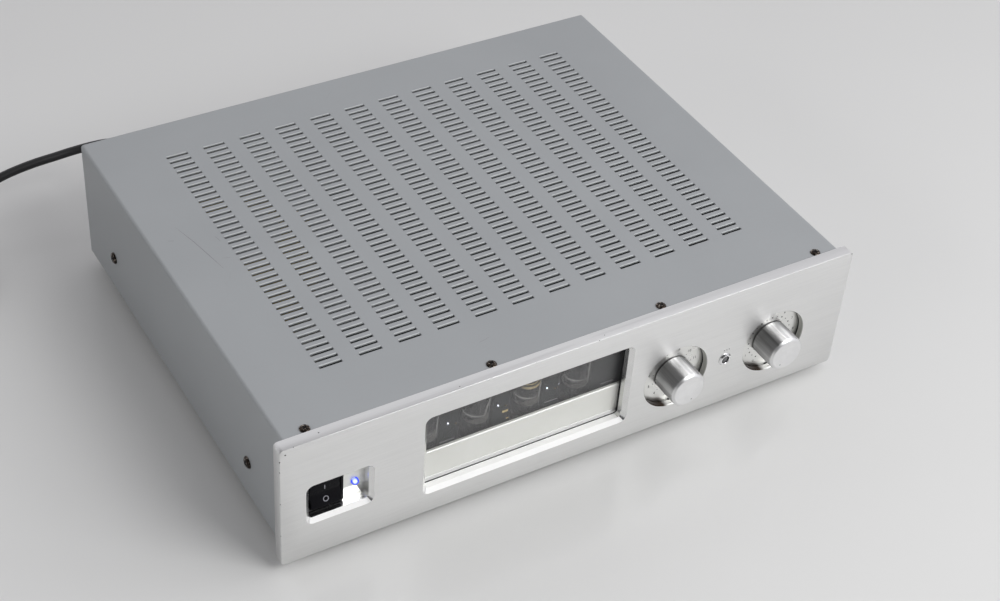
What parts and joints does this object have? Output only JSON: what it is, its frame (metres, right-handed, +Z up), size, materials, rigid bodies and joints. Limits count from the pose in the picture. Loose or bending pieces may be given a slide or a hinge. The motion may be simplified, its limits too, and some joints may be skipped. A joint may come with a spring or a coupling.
{
  "type": "audio amplifier",
  "caption": "Full-width tube amplifier with a bevelled window, turned knobs, a rocker switch and a slotted cover, its mains cord coiled beside it.",
  "frame": {"origin": "middle of the amplifier's footprint on the table, from the knob fronts to the terminals, at the feet's undersides; the cord is left out of it", "axes": "+X to the right as seen from the front, +Y to the back, +Z up"},
  "size_m": [0.6122, 0.4398, 0.1054],
  "materials": {
    "brushed_aluminium": "fine brushed, anodised silver",
    "polished_aluminium": "polished side, satin end",
    "silver_plate": "smooth semi-gloss silver",
    "cover_grey": "fine satin grey paint",
    "zinc_steel": "dull zinc plate",
    "chrome": "bright",
    "smoked_acrylic": "smoked, glossy",
    "clear_glass": "clear",
    "black_plastic": "semi-gloss black",
    "black_anodised": "black anodised",
    "blue_lens": "clear blue, lit",
    "rubber": "matt black",
    "cord_black": "soft satin black",
    "board": "green lacquer",
    "ceramic": "cream ceramic",
    "anode": "dark carbonised metal",
    "winding": "amber tape over copper",
    "sleeve": "dark printed sleeve over aluminium, no marks"
  },
  "bodies": {
    "chassis": {"front_panel": "brushed_aluminium", "front_plate": "silver_plate", "window_glass": "smoked_acrylic", "top_cover": "cover_grey", "chassis_tray": "zinc_steel", "rear_panel": "zinc_steel", "foot_front_left": "rubber", "foot_front_right": "rubber", "foot_rear_left": "rubber", "foot_rear_right": "rubber", "select_switch": "zinc_steel", "volume_control": "zinc_steel", "power_switch": "black_plastic", "power_lamp": "blue_lens", "sensor_ring": "chrome", "sensor_lens": "smoked_acrylic", "amplifier_board": "board", "supply_board": "board", "transformer": "winding", "transformer_clamp": "zinc_steel", "filter_capacitor_1": "sleeve", "filter_capacitor_2": "sleeve", "heat_sink_1": "black_anodised", "heat_sink_2": "black_anodised", "mains_inlet": "black_plastic", "input_jacks": "black_plastic", "cord_connector": "cord_black", "cord_lead": "cord_black", "cord_coil": "cord_black", "cord_tie_1": "cord_black", "cord_tie_2": "cord_black", "mains_plug": "cord_black", "tube_socket_1": "ceramic", "tube_glass_1": "clear_glass", "tube_anode_1": "anode", "speaker_post_1": "chrome", "tube_socket_2": "ceramic", "tube_glass_2": "clear_glass", "tube_anode_2": "anode", "speaker_post_2": "chrome", "tube_socket_3": "ceramic", "tube_glass_3": "clear_glass", "tube_anode_3": "anode", "speaker_post_3": "chrome", "tube_socket_4": "ceramic", "tube_glass_4": "clear_glass", "tube_anode_4": "anode", "speaker_post_4": "chrome"},
    "rocker": {"power_rocker": "black_plastic"},
    "select": {"select_knob": "polished_aluminium", "select_shaft": "zinc_steel"},
    "volume": {"volume_knob": "polished_aluminium", "volume_shaft": "zinc_steel"},
    "cap_1": {"speaker_cap_1": "black_plastic"},
    "cap_2": {"speaker_cap_2": "black_plastic"},
    "cap_3": {"speaker_cap_3": "black_plastic"},
    "cap_4": {"speaker_cap_4": "black_plastic"}
  },
  "joints": [
    {"name": "power_rocker_tilt", "type": "hinge", "parent": "chassis", "child": "rocker", "pos_m": [-0.1816, -0.1623, 0.0492], "axis": [1, 0, 0], "range_deg": [0, 22]},
    {"name": "select_turn", "type": "hinge", "parent": "chassis", "child": "select", "pos_m": [0.076, -0.1773, 0.047], "axis": [0, 1, 0], "range_deg": [-30, 60]},
    {"name": "volume_turn", "type": "hinge", "parent": "chassis", "child": "volume", "pos_m": [0.1573, -0.1773, 0.047], "axis": [0, 1, 0], "range_deg": [0, 300]},
    {"name": "speaker_cap_1_turn", "type": "hinge", "parent": "chassis", "child": "cap_1", "pos_m": [-0.084, 0.1797, 0.056], "axis": [0, 1, 0], "range_deg": [0, 720]},
    {"name": "speaker_cap_2_turn", "type": "hinge", "parent": "chassis", "child": "cap_2", "pos_m": [-0.062, 0.1797, 0.056], "axis": [0, 1, 0], "range_deg": [0, 720]},
    {"name": "speaker_cap_3_turn", "type": "hinge", "parent": "chassis", "child": "cap_3", "pos_m": [-0.002, 0.1797, 0.056], "axis": [0, 1, 0], "range_deg": [0, 720]},
    {"name": "speaker_cap_4_turn", "type": "hinge", "parent": "chassis", "child": "cap_4", "pos_m": [0.02, 0.1797, 0.056], "axis": [0, 1, 0], "range_deg": [0, 720]}
  ]
}
